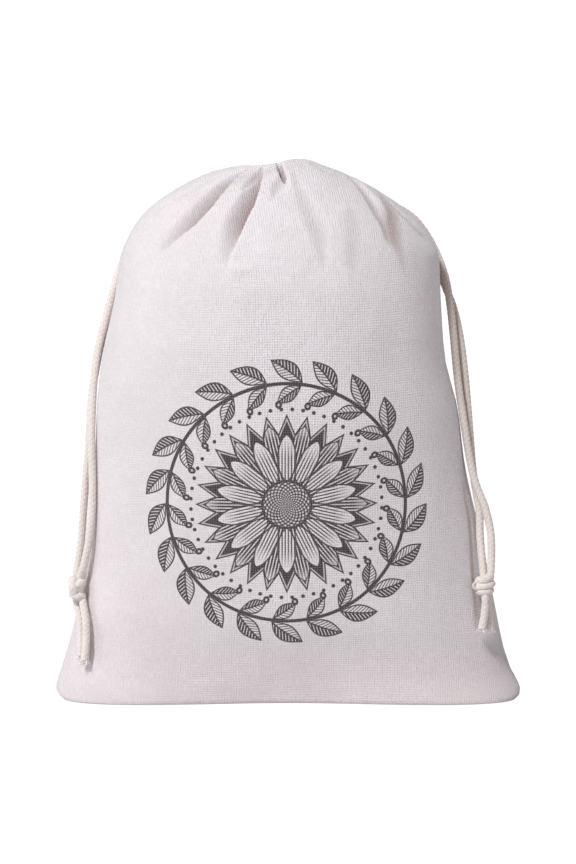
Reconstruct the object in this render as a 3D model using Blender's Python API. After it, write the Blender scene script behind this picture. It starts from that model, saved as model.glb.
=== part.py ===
"""Cloth drawstring bread bag, filled and standing, with its mouth drawn shut behind the top ridge.

One length of cloth is folded at the base and seamed up both sides. Two drawcords leave the
gathered casing at its left and right, run over the shoulders, hang down the sides and end in
knots. The tables are in millimetres and the objects in metres, with +Z up and the front at -Y.
"""
import math
from collections import namedtuple

import bmesh
import bpy
import numpy as np

MM = 0.001

# Cloth
CLOTH_THICKNESS = 1.2
PLEATS = 12
COLUMNS_PER_PLEAT = 8
FRONT_CROWDING = 0.27
COLUMN_ASPECT = 1.25

# The filled form, level by level: half widths left and right of the middle, front and back
# depths, how square the outline is, and how far the middle of each face is drawn in.
Level = namedtuple("Level", "height left right front back power dip")
LEVELS = (
    Level(0.0, 141.6, 143.4, 49.0, 48.0, 4.0, 12.0),
    Level(2.0, 144.6, 146.0, 50.0, 49.0, 3.6, 11.5),
    Level(5.0, 146.5, 146.5, 50.0, 49.5, 3.2, 11.0),
    Level(9.0, 146.0, 145.0, 50.0, 50.0, 2.8, 10.0),
    Level(15.0, 144.2, 141.6, 49.5, 50.5, 2.5, 8.0),
    Level(28.0, 140.2, 137.0, 50.0, 51.5, 2.2, 4.5),
    Level(46.0, 135.2, 133.0, 53.5, 54.5, 2.1, 1.5),
    Level(75.0, 130.2, 127.0, 59.5, 60.5, 2.05, 0.0),
    Level(110.0, 124.8, 119.0, 66.0, 66.5, 2.1, 0.0),
    Level(148.0, 121.4, 110.4, 72.5, 72.5, 2.15, 0.0),
    Level(180.0, 120.4, 106.4, 76.5, 76.5, 2.2, 0.0),
    Level(215.0, 116.4, 98.4, 78.0, 78.0, 2.25, 0.0),
    Level(250.0, 108.2, 95.6, 75.5, 77.0, 2.3, 0.0),
    Level(275.0, 104.6, 94.3, 68.5, 72.5, 2.3, 0.0),
    Level(290.0, 98.6, 88.0, 61.0, 66.5, 2.25, 0.0),
    Level(304.0, 88.6, 75.6, 51.0, 58.5, 2.2, 0.0),
    Level(318.0, 70.5, 56.0, 37.0, 47.5, 2.15, 0.0),
    Level(328.0, 50.5, 35.0, 23.5, 36.5, 2.1, 0.0),
    Level(334.0, 27.0, 21.5, 12.0, 27.5, 2.0, 0.0),
    Level(337.0, 6.0, 17.5, 3.0, 19.0, 2.0, 0.0),
    Level(338.7, -6.0, 13.0, -5.0, 10.0, 2.0, 0.0),
)
DIP_REACH = 75.0

# Loops of the loft. The walls are level cuts of the form, and the crown's cuts tip back more
# and more, towards the gather.
WALL_HEIGHTS = (0.0, 2.0, 5.0, 9.0, 16.0, 28.0, 48.0, 74.0, 104.0, 136.0, 168.0, 198.0, 222.0)
Cut = namedtuple("Cut", "x y z tilt")
CROWN_CUTS = (
    Cut(-1.0, 3.0, 242.0, 7.0),
    Cut(-3.0, 8.0, 260.0, 14.0),
    Cut(-6.0, 14.0, 275.0, 21.0),
    Cut(-9.0, 21.0, 288.0, 28.0),
    Cut(-11.0, 28.0, 298.0, 34.0),
    Cut(-13.0, 34.0, 305.0, 39.0),
)

# The gather: loops about its axis, with the mean radius, how far the loop stands along the axis
# and how deep the pleats are. The cord's channel is the casing from the throat to the rim.
GATHER_CENTRE = (-14.0, 38.0, 300.0)
GATHER_TILT = 40.0
Ring = namedtuple("Ring", "radius along pleat")
GATHER_RINGS = (
    Ring(35.0, 5.5, 2.8),
    Ring(22.0, 1.0, 3.1),
    Ring(16.0, 0.0, 2.8),
    Ring(17.0, 7.0, 2.9),
    Ring(20.0, 13.5, 3.5),
    Ring(23.5, 18.5, 4.0),
)
CROWN_PLEAT = 1.1

# Folds that run from the gather over the ridge and down the front: how deep each one is, how wide
# its trough is on either side, and its route in the front view, x and height.
Fold = namedtuple("Fold", "depth left right route")
FOLDS = (
    Fold(8.5, 9.0, 4.5, ((-27, 325), (-38, 317), (-60, 297), (-80, 277))),
    Fold(9.0, 10.0, 4.5, ((-17, 328), (-19, 321), (-27, 297), (-33, 271))),
    Fold(4.0, 4.5, 4.0, ((-5, 331), (-3, 324), (-3, 312))),
    Fold(3.5, 6.0, 8.0, ((6, 325), (11, 311), (17, 297))),
    Fold(4.5, 4.0, 7.0, ((38, 324), (47, 314), (53, 306), (63, 288))),
    Fold(3.0, 5.0, 7.0, ((60, 312), (67, 298), (73, 280))),
    Fold(3.0, 5.0, 5.0, ((74, 301), (82, 292), (89, 280))),
)
FOLD_START = (-14.0, 20.0, 318.0)
FOLD_FADE = 16.0

# Cords: the routes of their middle lines, x, y and height, from the casing over the shoulder and
# down the side to the knot, and from the knot to each free end.
CORD_DIAMETER = 5.0
CORD_STEP = 11.0
CORD_ROUTES = {
    "cord_left_front": (
        (-35, 41.5, 305.5), (-53, 38.5, 311), (-70, 37.5, 309.5), (-84, 35, 304.5),
        (-94, 32, 294.5), (-100, 29, 284.5), (-104, 25.5, 275), (-107.5, 20, 266.5),
        (-110.4, 14.5, 255.5), (-114.6, 7.5, 239), (-118.9, 0, 220), (-121.4, -8, 199.5),
        (-122.5, -16, 166), (-121.6, -20.5, 137.5), (-121.8, -22.5, 120), (-123.7, -24, 100.5),
        (-126.6, -23.5, 86), (-129.4, -22, 77.3),
    ),
    "cord_left_back": (
        (-38.5, 46.5, 310), (-53, 45, 306), (-70, 44, 304.5), (-83, 42, 299),
        (-93, 39, 289.5), (-98.5, 36, 279), (-102.5, 32.5, 269), (-106, 28, 259),
        (-110.6, 21, 246), (-116.6, 12, 228.5), (-120.6, 3, 208), (-123.6, -4, 185),
        (-124.6, -10, 159), (-127.1, -13, 129), (-129.4, -15.5, 98.5), (-132.3, -18, 77.5),
    ),
    "cord_right_front": (
        (7, 41.5, 305.5), (25, 38.5, 311), (42, 37.5, 311), (56, 35.5, 310), (69, 32.5, 307.5),
        (80, 29.5, 300.5), (88, 26.5, 290.5), (93.5, 22.5, 280), (97, 16, 271),
        (99.7, 7.5, 260.5), (101.8, -1, 245), (103.6, -7.5, 225), (105.9, -11, 200), (109.4, -14, 175),
        (114, -16, 147), (117.6, -18.5, 133), (122.8, -21, 119.5), (126.2, -24.5, 102),
        (125.5, -30, 79),
    ),
    "cord_right_back": (
        (10.5, 46.5, 310), (25, 45, 306), (42, 44, 306.5), (56, 42.5, 305.5), (69, 39.5, 302.5),
        (80, 36, 295.5), (87.5, 33, 285.5), (92.5, 29, 275), (96.5, 23, 265.5), (100.5, 15, 255),
        (104.9, 6, 241.5), (108.2, -1.5, 224), (111, -5.5, 200), (113.5, -8.5, 170),
        (115.5, -10.5, 145), (117.6, -12.5, 130), (119.6, -15.5, 117), (119.8, -20, 101), (121.5, -26.5, 79),
    ),
    "tail_left_front": (
        (-128.3, -23, 62.5), (-125.7, -28, 50), (-125.3, -31, 37), (-126.2, -32.3, 26),
    ),
    "tail_left_back": (
        (-132, -19, 60.5), (-129.7, -22.3, 50), (-128.7, -25.6, 38), (-128.9, -26.8, 28),
    ),
    "tail_right_front": (
        (124, -26.3, 65.5), (124.7, -26, 59), (125.5, -25.8, 52), (125.8, -25.5, 44.5),
    ),
    "tail_right_back": (
        (122.3, -31.9, 65), (122.3, -31.5, 59), (121.5, -31, 52), (120.5, -30.5, 45.5),
    ),
}

# Knots: each one's middle, half sizes and the turns of cord that show round its leaning axis.
Knot = namedtuple("Knot", "x y z half_x half_y half_z turns lean")
KNOTS = {
    "knot_left": Knot(-132.2, -20.3, 69.3, 5.5, 5.6, 7.9, 2, 24.0),
    "knot_right": Knot(121.6, -29.0, 72.4, 7.2, 5.7, 6.6, 3, 14.0),
}
KNOT_GROOVE = 0.13
KNOT_GROOVE_WIDTH = 0.16
KNOT_SIDES = 24
KNOT_RINGS = 18

# How finely the form is searched along a line, how far out, and how finely a route is read.
SEARCH_STEPS = 40
SEARCH_REACH = 200.0
ROUTE_SHARES = np.arange(0.0, 1.0, 0.05)

CLOTH_COLOUR = (0.80, 0.765, 0.765, 1.0)
CORD_COLOUR = (0.86, 0.79, 0.71, 1.0)
CLOTH_ROUGHNESS = 0.9
CORD_ROUGHNESS = 0.85


def clear_scene():
    """Remove what the scene holds."""
    for obj in list(bpy.data.objects):
        bpy.data.objects.remove(obj)


def finish_material(name, colour, roughness):
    """A Principled material of one colour."""
    material = bpy.data.materials.new(name)
    material.use_nodes = True
    shader = material.node_tree.nodes["Principled BSDF"]
    shader.inputs["Base Color"].default_value = colour
    shader.inputs["Roughness"].default_value = roughness
    shader.inputs["Metallic"].default_value = 0.0
    return material


def add_object(name, data, material):
    """An object of this name and material, at the origin."""
    obj = bpy.data.objects.new(name, data)
    bpy.context.collection.objects.link(obj)
    data.materials.append(material)
    return obj


def level_values(height):
    """The form's columns at these heights, on curves through the table that never overshoot."""
    table = np.array(LEVELS, float)
    knots, values = table[:, 0], table[:, 1:]
    gaps = np.diff(knots)[:, None]
    slopes = np.diff(values, axis=0) / gaps
    before, after = slopes[:-1], slopes[1:]
    same_way = before * after > 0
    total = np.where(same_way, before + after, 1.0)
    inner = np.where(same_way, 2 * before * after / total, 0.0)
    tangents = np.vstack([slopes[:1], inner, slopes[-1:]])
    height = np.clip(height, knots[0], knots[-1])
    cell = np.clip(np.searchsorted(knots, height, side="right") - 1, 0, len(gaps) - 1)
    share = ((height - knots[cell]) / gaps[cell, 0])[:, None]
    rise = values[cell + 1] - values[cell]
    start, end = tangents[cell] * gaps[cell], tangents[cell + 1] * gaps[cell]
    curve = values[cell] + share * start + share ** 2 * (3 * rise - 2 * start - end)
    return curve + share ** 3 * (start + end - 2 * rise)


def outside_form(points):
    """Over 0 where a point lies outside the filled form, and under 0 inside it."""
    left, right, front, back, power, dip = level_values(points[:, 2]).T
    middle_x, half_x = (right - left) / 2, (right + left) / 2
    middle_y, half_y = (back - front) / 2, (back + front) / 2
    half_y = half_y - dip * np.exp(-(points[:, 0] / DIP_REACH) ** 2)
    across = np.abs((points[:, 0] - middle_x) / half_x) ** power
    through = np.abs((points[:, 1] - middle_y) / half_y) ** power
    past_ends = np.maximum(points[:, 2] - LEVELS[-1].height, LEVELS[0].height - points[:, 2])
    return np.maximum(across + through - 1, past_ends)


def column_directions():
    """Each column's direction in a loop's own plane: to the side, and to the back."""
    count = PLEATS * COLUMNS_PER_PLEAT
    turn = np.arange(count) * 2 * math.pi / count
    turn = turn - FRONT_CROWDING * np.cos(turn)
    sideways, backwards = COLUMN_ASPECT * np.cos(turn), np.sin(turn)
    size = np.hypot(sideways, backwards)
    return sideways / size, backwards / size


def plane_directions(tilt):
    """Column directions in a plane that is tipped back by tilt degrees."""
    sideways, backwards = column_directions()
    lean = math.radians(tilt)
    return np.stack([sideways, backwards * math.cos(lean), -backwards * math.sin(lean)], axis=1)


def pleat_wave():
    """The pleats' height at each column, from -1 in a valley to 1 on a ridge."""
    phase = np.arange(PLEATS * COLUMNS_PER_PLEAT) * 2 * math.pi / COLUMNS_PER_PLEAT
    return np.cos(phase)


def form_loop(centre, tilt=0.0):
    """The loop where a plane through centre cuts the form."""
    directions = plane_directions(tilt)
    near, far = np.zeros(len(directions)), np.full(len(directions), SEARCH_REACH)
    for _ in range(SEARCH_STEPS):
        middle = (near + far) / 2
        is_out = outside_form(np.array(centre) + directions * middle[:, None]) > 0
        near, far = np.where(is_out, near, middle), np.where(is_out, middle, far)
    return np.array(centre) + directions * near[:, None]


def gather_loop(ring):
    """A pleated loop about the gather's axis."""
    lean = math.radians(GATHER_TILT)
    axis = np.array([0.0, math.sin(lean), math.cos(lean)])
    radius = ring.radius + ring.pleat * pleat_wave()
    centre = np.array(GATHER_CENTRE) + ring.along * axis
    return centre + plane_directions(GATHER_TILT) * radius[:, None]


def control_loops():
    """Every loop of the bag, from its base to the rim of its casing."""
    loops = [form_loop((0.0, 0.0, height)) for height in WALL_HEIGHTS]
    for cut in CROWN_CUTS:
        loops.append(form_loop((cut.x, cut.y, cut.z), cut.tilt))
    outward = plane_directions(CROWN_CUTS[-1].tilt) * pleat_wave()[:, None]
    loops[-1] = loops[-1] + outward * CROWN_PLEAT
    loops.extend(gather_loop(ring) for ring in GATHER_RINGS)
    return np.array(loops)


def between(loops, index):
    """The loop halfway from one loop to the next, on a smooth curve through its neighbours."""
    before, start, end, after = loops[index - 1:index + 3]
    return (9 * (start + end) - before - after) / 16


def bag_rows():
    """The loft's rows: all loops, with one more between those of the crown and the funnel."""
    loops = control_loops()
    funnel = len(WALL_HEIGHTS) + len(CROWN_CUTS)
    rows = []
    for index, loop in enumerate(loops):
        rows.append(loop)
        if funnel - 3 < index < funnel:
            rows.append(between(loops, index))
    return np.array(rows)


def row_normals(rows):
    """Unit normals of the lofted rows, facing out."""
    along = np.gradient(rows, axis=0)
    around = np.roll(rows, -1, axis=1) - np.roll(rows, 1, axis=1)
    normals = np.cross(around, along)
    return normals / np.linalg.norm(normals, axis=2, keepdims=True)


def front_point(x, height):
    """The point of the form's front face at this x and height."""
    near, far = 0.0, -SEARCH_REACH
    for _ in range(SEARCH_STEPS):
        middle = (near + far) / 2
        if outside_form(np.array([[x, middle, height]]))[0] > 0:
            far = middle
        else:
            near = middle
    return (x, near, height)


def fold_push(points, normals, fold):
    """How far a fold pushes each point in."""
    route = [FOLD_START] + [front_point(x, height) for x, height in fold.route]
    route = np.array(route)
    best = np.full(len(points), np.inf)
    aside = np.zeros(len(points))
    for start, end in zip(route[:-1], route[1:]):
        run = end - start
        share = np.clip((points - start) @ run / (run @ run), 0, 1)
        offset = points - (start + share[:, None] * run)
        distance = np.linalg.norm(offset, axis=1)
        to_right = np.einsum("ij,ij->i", offset, np.cross(run, normals))
        closer = distance < best
        best = np.where(closer, distance, best)
        aside = np.where(closer, np.sign(-to_right) * distance, aside)
    width = np.where(aside < 0, fold.left, fold.right)
    to_end = np.linalg.norm(points - route[-1], axis=1)
    fade = 1 - np.exp(-(to_end / FOLD_FADE) ** 2)
    return fold.depth * fade * np.exp(-(aside / width) ** 2)


def folded_rows():
    """The loft's rows with the folds of the crown pressed in."""
    rows = bag_rows()
    normals = row_normals(rows)
    points, flat_normals = rows.reshape(-1, 3), normals.reshape(-1, 3)
    push = sum(fold_push(points, flat_normals, fold) for fold in FOLDS)
    is_crown = points[:, 2] > WALL_HEIGHTS[-1]
    push = (push * is_crown).reshape(rows.shape[:2])
    push[1 - len(GATHER_RINGS):] = 0
    return rows - normals * push[:, :, None]


def place(loop, row):
    """Put a loop of vertices on the points of a row."""
    for vert, point in zip(loop, row):
        vert.co = point * MM
    return loop


def extruded(mesh, loop):
    """The loop that an extrusion of this open loop makes, in the same order."""
    edges = [mesh.edges.get(pair) for pair in zip(loop, loop[1:] + loop[:1])]
    made = set(bmesh.ops.extrude_edge_only(mesh, edges=edges)["geom"])
    return [next(far for far in (edge.other_vert(vert) for edge in vert.link_edges) if far in made)
            for vert in loop]


def build_bag(material):
    """The bag: one lofted sheet with a flat base and an open, pleated mouth."""
    rows = folded_rows()
    mesh = bmesh.new()
    base = bmesh.ops.create_circle(mesh, cap_ends=True, segments=len(rows[0]), radius=1.0)["verts"]
    loop = place(base, rows[0])
    for row in rows[1:]:
        loop = place(extruded(mesh, loop), row)
    bmesh.ops.recalc_face_normals(mesh, faces=mesh.faces)
    data = bpy.data.meshes.new("bag_cloth")
    mesh.to_mesh(data)
    mesh.free()
    bag = add_object("bag_cloth", data, material)
    data.shade_smooth()
    wall = bag.modifiers.new("cloth thickness", "SOLIDIFY")
    wall.thickness = CLOTH_THICKNESS * MM
    wall.offset = -1.0
    return bag


def smooth_line(route):
    """Points a cord step apart on a smooth curve through a route."""
    points = np.array(route, float)
    padded = np.vstack([2 * points[0] - points[1], points, 2 * points[-1] - points[-2]])
    fine = []
    for before, start, end, after in zip(padded, padded[1:], padded[2:], padded[3:]):
        for share in ROUTE_SHARES:
            bend = 2 * before - 5 * start + 4 * end - after
            twist = 3 * start - before - 3 * end + after
            step = (end - before) * share + bend * share ** 2 + twist * share ** 3
            fine.append(start + step / 2)
    fine = np.array(fine + [points[-1]])
    reach = np.concatenate([[0], np.cumsum(np.linalg.norm(np.diff(fine, axis=0), axis=1))])
    places = np.linspace(0, reach[-1], max(3, round(reach[-1] / CORD_STEP) + 1))
    return np.stack([np.interp(places, reach, fine[:, axis]) for axis in range(3)], axis=1)


def build_cord(name, route, material):
    """A round cord along its route, with flat ends."""
    curve = bpy.data.curves.new(name, "CURVE")
    curve.dimensions = "3D"
    points = smooth_line(route)
    spline = curve.splines.new("POLY")
    spline.points.add(len(points) - 1)
    for target, point in zip(spline.points, points):
        target.co = (*(point * MM), 1.0)
    curve.bevel_depth = CORD_DIAMETER / 2 * MM
    curve.bevel_resolution = 3
    curve.use_fill_caps = True
    return add_object(name, curve, material)


def build_knot(name, knot, material):
    """A knot pulled tight: a rounded form with a groove between its turns."""
    mesh = bmesh.new()
    bmesh.ops.create_uvsphere(mesh, u_segments=KNOT_SIDES, v_segments=KNOT_RINGS, radius=1.0)
    lean = math.radians(knot.lean)
    grooves = [2 * (turn + 1) / knot.turns - 1 for turn in range(knot.turns - 1)]
    for vert in mesh.verts:
        along = vert.co.z * math.cos(lean) - vert.co.x * math.sin(lean)
        cut = sum(math.exp(-((along - groove) / KNOT_GROOVE_WIDTH) ** 2) for groove in grooves)
        vert.co *= 1 - KNOT_GROOVE * cut
        vert.co.x = (knot.x + vert.co.x * knot.half_x) * MM
        vert.co.y = (knot.y + vert.co.y * knot.half_y) * MM
        vert.co.z = (knot.z + vert.co.z * knot.half_z) * MM
    data = bpy.data.meshes.new(name)
    mesh.to_mesh(data)
    mesh.free()
    data.shade_smooth()
    return add_object(name, data, material)


def main():
    clear_scene()
    cloth = finish_material("natural_cloth", CLOTH_COLOUR, CLOTH_ROUGHNESS)
    cotton = finish_material("cotton_cord", CORD_COLOUR, CORD_ROUGHNESS)
    build_bag(cloth)
    for name, route in CORD_ROUTES.items():
        build_cord(name, route, cotton)
    for name, knot in KNOTS.items():
        build_knot(name, knot, cotton)


main()
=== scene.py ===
"""Dresses a filled drawstring bread bag: its cloth, print, cords, knots, floor and light.

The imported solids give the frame. The sizes below are in millimetres, as on the pattern, and the
meshes are in metres, with +Z up and the front of the bag at -Y.
"""
import math
from collections import namedtuple

import bmesh
import bpy
import numpy as np
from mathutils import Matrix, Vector, noise


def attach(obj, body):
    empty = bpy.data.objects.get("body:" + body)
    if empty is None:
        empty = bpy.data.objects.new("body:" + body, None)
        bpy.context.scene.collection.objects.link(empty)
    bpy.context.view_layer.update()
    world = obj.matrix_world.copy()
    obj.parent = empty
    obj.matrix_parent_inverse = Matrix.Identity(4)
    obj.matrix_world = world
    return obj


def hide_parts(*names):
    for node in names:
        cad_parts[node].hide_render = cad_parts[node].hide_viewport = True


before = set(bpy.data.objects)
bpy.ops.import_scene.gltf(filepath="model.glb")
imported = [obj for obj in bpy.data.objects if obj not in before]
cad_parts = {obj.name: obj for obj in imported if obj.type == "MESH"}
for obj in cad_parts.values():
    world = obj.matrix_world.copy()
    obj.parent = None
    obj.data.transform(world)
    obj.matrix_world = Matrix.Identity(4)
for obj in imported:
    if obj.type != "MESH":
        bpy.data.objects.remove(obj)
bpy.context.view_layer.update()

bl_info = {
    "name": "Drawstring Bread Bag",
    "version": (1, 0, 0),
    "blender": (4, 5, 0),
    "location": "3D View > Sidebar > Bread Bag",
    "description": "Builds a filled cloth bag with drawcords, knots and a printed wreath",
    "category": "Add Mesh",
}

MM = 0.001

# The filled form, level by level: half widths left and right of the middle, front and back
# depths, how square the outline is, and how far the middle of each face is drawn in.
Level = namedtuple("Level", "height left right front back power dip", defaults=(0,))
LEVELS = [Level(*row) for row in (
    (0, 141.6, 143.4, 49, 48, 4, 12),
    (2, 144.6, 146, 50, 49, 3.6, 11.5),
    (5, 146.5, 146.5, 50, 49.5, 3.2, 11),
    (9, 146, 145, 50, 50, 2.8, 10),
    (15, 144.2, 141.6, 49.5, 50.5, 2.5, 8),
    (28, 140.2, 137, 50, 51.5, 2.2, 4.5),
    (46, 135.2, 133, 53.5, 54.5, 2.1, 1.5),
    (75, 130.2, 127, 59.5, 60.5, 2.05),
    (110, 124.8, 119, 66, 66.5, 2.1),
    (148, 121.4, 110.4, 72.5, 72.5, 2.15),
    (180, 120.4, 106.4, 76.5, 76.5, 2.2),
    (215, 116.4, 98.4, 78, 78, 2.25),
    (250, 108.2, 95.6, 75.5, 77, 2.3),
    (275, 104.6, 94.3, 68.5, 72.5, 2.3),
    (290, 98.6, 88, 61, 66.5, 2.25),
    (304, 88.6, 75.6, 51, 58.5, 2.2),
    (318, 70.5, 56, 37, 47.5, 2.15),
    (328, 50.5, 35, 23.5, 36.5, 2.1),
    (334, 27, 21.5, 12, 27.5, 2),
    (337, 6, 17.5, 3, 19, 2),
    (338.7, -6, 13, -5, 10, 2),
)]
DIP_REACH = 75.0

# Rows of the cloth: level cuts of the form up the walls, cuts that tip back over the crown, and
# pleated loops about the gather's axis from the funnel to the rim of the casing.
FOOT_HEIGHTS = (0, 0.8, 1.8, 3.2, 5, 7.5, 10.5, 14, 18)
WALL_STEP = 12.0
WALL_TOP = 222.0
Cut = namedtuple("Cut", "x y z tilt")
CROWN_CUTS = (
    Cut(0, 0, WALL_TOP, 0),
    Cut(-1, 3, 242, 7),
    Cut(-3, 8, 260, 14),
    Cut(-6, 14, 275, 21),
    Cut(-9, 21, 288, 28),
    Cut(-11, 28, 298, 34),
    Cut(-13, 34, 305, 39),
)
GATHER_CENTRE = (-14, 38, 300)
GATHER_TILT = 40.0
Ring = namedtuple("Ring", "radius along pleat")
GATHER_RINGS = (
    Ring(35, 5.5, 2.2),
    Ring(22, 1, 3.1),
    Ring(16, 0, 2.8),
    Ring(17, 7, 2.9),
    Ring(20, 13.5, 3.5),
    Ring(23.5, 18.5, 4),
)
# How finely the cloth is cut, which columns are the left seam and the front's middle, and how much
# closer the columns stand at the front.
CROWN_SUBROWS = 14
GATHER_SUBROWS = 4
COLUMNS = 360
LEFT_SEAM = 150
FRONT_COLUMN = 255
FRONT_CROWDING = 0.27
COLUMN_ASPECT = 1.25
# Pleats: how many, how uneven, how much deeper than high, and how deep and from which cut on the
# crown is creased.
PLEATS = 13
PLEAT_DRIFT = 0.2
RIM_SWAY = 2.2
VALLEY_DEPTH = 1.9
CROWN_PLEAT = 1.5
PLEAT_START = 1.5
# The cloth's map and layers, its side seams, and the two rows of stitches near the rim.
CLOTH_MAP = "cloth"
CLOTH_LAYERS = ("seam", "rim", "fold_shade")
SEAM_DEPTH = 0.9
SEAM_WIDTH = 1.6
HEM_STITCHES = (2.5, 21.0)
STITCH_PITCH = 3.2

# Tucks from the gather over the ridge and down the front: how wide the steep right side of each is
# beside its left one, and its route: x, height, width and depth.
Tuck = namedtuple("Tuck", "right route")
TUCKS = (
    Tuck(0.12, (
        (-16, 332, 1.5, 1.5), (-23, 330, 2.5, 2.5), (-30, 327, 5, 5), (-37, 320, 8.5, 8.5),
        (-47, 307, 11.5, 10.4), (-57, 296, 12.5, 8.2), (-65.5, 289, 10.5, 5), (-73.5, 281.5, 6.5, 2.2),
        (-80, 276, 2.5, 0.3))),
    Tuck(0.12, (
        (-15, 331, 2, 2), (-15.2, 328, 3.5, 3.5), (-18, 318, 8.5, 9), (-21.5, 308, 11.5, 10.6),
        (-26.5, 298, 12.5, 9.6), (-30, 289, 11, 6.2), (-33.5, 280, 8.5, 2.8), (-36, 270, 4, 0.4))),
    Tuck(0.8, (
        (-15, 331, 1.5, 1.5), (-22, 323, 2.4, 2.4), (-24, 321, 2.6, 2.6), (-27, 318, 2, 2),
        (-31, 318, 0.5, 0.5))),
    Tuck(0.7, ((-6, 335, 1.6, 6), (-4.2, 330.5, 2.9, 15), (-2.6, 326, 2.5, 13), (-1.5, 322, 0.8, 1))),
)
# Rounded hollows, or swellings where the depth is under 0: how deep each is and how much painted
# shade it gets for its width, and its route: x, height and width.
Hollow = namedtuple("Hollow", "depth shade route")
HOLLOWS = (
    Hollow(0.2, 0, ((-32, 334, 4), (-24, 336, 14), (-14, 338, 18), (-5, 338, 15), (4, 338, 4))),
    Hollow(0.35, 0.05, ((-2, 326, 3), (-4, 321, 6), (-7, 316, 5), (-9, 311, 1))),
    Hollow(0.14, 0.04, (
        (4, 327, 3), (7, 318, 5), (10.5, 309, 7.5), (15, 299, 8.5), (18.5, 291, 8), (20.5, 283, 6.5),
        (21.5, 274, 4), (22, 266, 1))),
    Hollow(0.05, 0.035, (
        (36, 312, 2), (38, 305, 5), (39, 297, 8), (39.5, 289, 8), (39.5, 280, 7.5), (39, 271, 6),
        (38, 262, 2))),
    Hollow(0.15, 0.04, ((9, 335, 1.5), (16, 333, 3), (23, 328, 3), (30, 326, 2.5), (37, 324, 1))),
    Hollow(0.36, 0.15, (
        (32, 331, 1), (36, 328, 2), (42, 321.5, 3), (48, 314, 4), (52, 307, 4.5), (55, 301, 4.2),
        (58, 295, 3.4), (60, 288, 2), (61, 282, 0.8))),
    Hollow(-0.22, 0, ((42, 325, 2), (49, 318, 4), (57, 309, 5), (61, 303, 4), (61, 298, 2))),
    # Mostly painted shade, barely pressed in.
    Hollow(0.08, 0.1, (
        (53, 320, 2), (60, 311, 5), (63.5, 303, 9), (63.5, 295, 10), (64.5, 287, 9.5), (68, 278, 6),
        (71, 266, 2))),
    Hollow(0.3, 0.16, ((59, 313, 1), (63, 309, 2), (71, 301, 3), (79, 293, 3), (86, 286, 2))),
    # Painted shade only, with no depth, below the gather.
    Hollow(0, 0.035, ((-40, 320, 5), (-30, 323, 9), (-20, 326, 9), (-10, 329, 5))),
    Hollow(0.3, 0.04, ((-39, 328, 1), (-50, 322, 3.5), (-63, 315, 3.5), (-75, 308, 3), (-85, 300, 1))),
    Hollow(-0.18, 0, ((-38, 270, 3), (-31, 267, 7), (-22, 269, 5))),
    # Painted shade: a dark line down the right flank beside the cords, barely pressed in.
    Hollow(0.06, 0.42, (
        (108, 138, 1), (110, 126, 2.2), (112.6, 113, 2.7), (113.7, 101, 2.8), (114.4, 88.4, 2.8),
        (115, 76, 2.8), (116.4, 64, 2.8), (117.7, 51.5, 2.2), (118.6, 40, 0.8))),
)
# A tuck's profile, the depth that gets a hollow's full painted shade, and the darkest painted shade.
# The cloth's slack: how wide its swellings are, and the height from which it is full.
TUCK_CURVE = 1.3
SHADE_DEPTH = 8.0
DARKEST = 1.8
SLACK_SIZE = 46.0
SLACK_HEIGHT = 30.0

# Cords: the routes of their middle lines, x, y and height.
CORD_ROUTES = {
    "cord_left_front": (
        (-35, 41.5, 305.5), (-53, 38.5, 311), (-70, 37.5, 309.5), (-84, 35, 304.5), (-94, 32, 294.5),
        (-100, 29, 284.5), (-104, 25.5, 275), (-107.5, 20, 266.5), (-110.4, 14.5, 255.5),
        (-114.6, 7.5, 239), (-118.9, 0, 220), (-121.4, -8, 199.5), (-122.5, -16, 166),
        (-121.6, -20.5, 137.5), (-121.8, -22.5, 120), (-123.7, -24, 100.5), (-126.6, -23.5, 86),
        (-129.4, -22, 77.3),
    ),
    "cord_left_back": (
        (-38.5, 46.5, 310), (-53, 45, 306), (-70, 44, 304.5), (-83, 42, 299), (-93, 39, 289.5),
        (-98.5, 36, 279), (-102.5, 32.5, 269), (-106, 28, 259), (-110.6, 21, 246), (-116.6, 12, 228.5),
        (-120.6, 3, 208), (-123.6, -4, 185), (-124.6, -10, 159), (-127.1, -13, 129), (-129.4, -15.5, 98.5),
        (-132.3, -18, 77.5),
    ),
    "cord_right_front": (
        (7, 41.5, 305.5), (25, 38.5, 311), (42, 37.5, 311), (56, 35.5, 310), (69, 32.5, 307.5),
        (80, 29.5, 300.5), (88, 26.5, 290.5), (93.5, 22.5, 280), (97, 16, 271), (99.7, 7.5, 260.5),
        (101.8, -1, 245), (103.6, -7.5, 225), (105.9, -11, 200), (109.4, -14, 175), (114, -16, 147),
        (117.6, -18.5, 133), (122.8, -21, 119.5), (126.2, -24.5, 102), (125.5, -30, 79),
    ),
    "cord_right_back": (
        (10.5, 46.5, 310), (25, 45, 306), (42, 44, 306.5), (56, 42.5, 305.5), (69, 39.5, 302.5),
        (80, 36, 295.5), (87.5, 33, 285.5), (92.5, 29, 275), (96.5, 23, 265.5), (100.5, 15, 255),
        (104.9, 6, 241.5), (108.2, -1.5, 224), (111, -5.5, 200), (113.5, -8.5, 170), (115.5, -10.5, 145),
        (117.6, -12.5, 130), (119.6, -15.5, 117), (119.8, -20, 101), (121.5, -26.5, 79),
    ),
    "tail_left_front": ((-128.3, -23, 62.5), (-125.7, -28, 50), (-125.3, -31, 37), (-126.2, -32.3, 26)),
    "tail_left_back": ((-132, -19, 60.5), (-129.7, -22.3, 50), (-128.7, -25.6, 38), (-128.9, -26.8, 28)),
    "tail_right_front": ((124, -26.3, 65.5), (124.7, -26, 59), (125.5, -25.8, 52), (125.8, -25.5, 44.5)),
    "tail_right_back": ((122.3, -31.9, 65), (122.3, -31.5, 59), (121.5, -31, 52), (120.5, -30.5, 45.5)),
}
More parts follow.
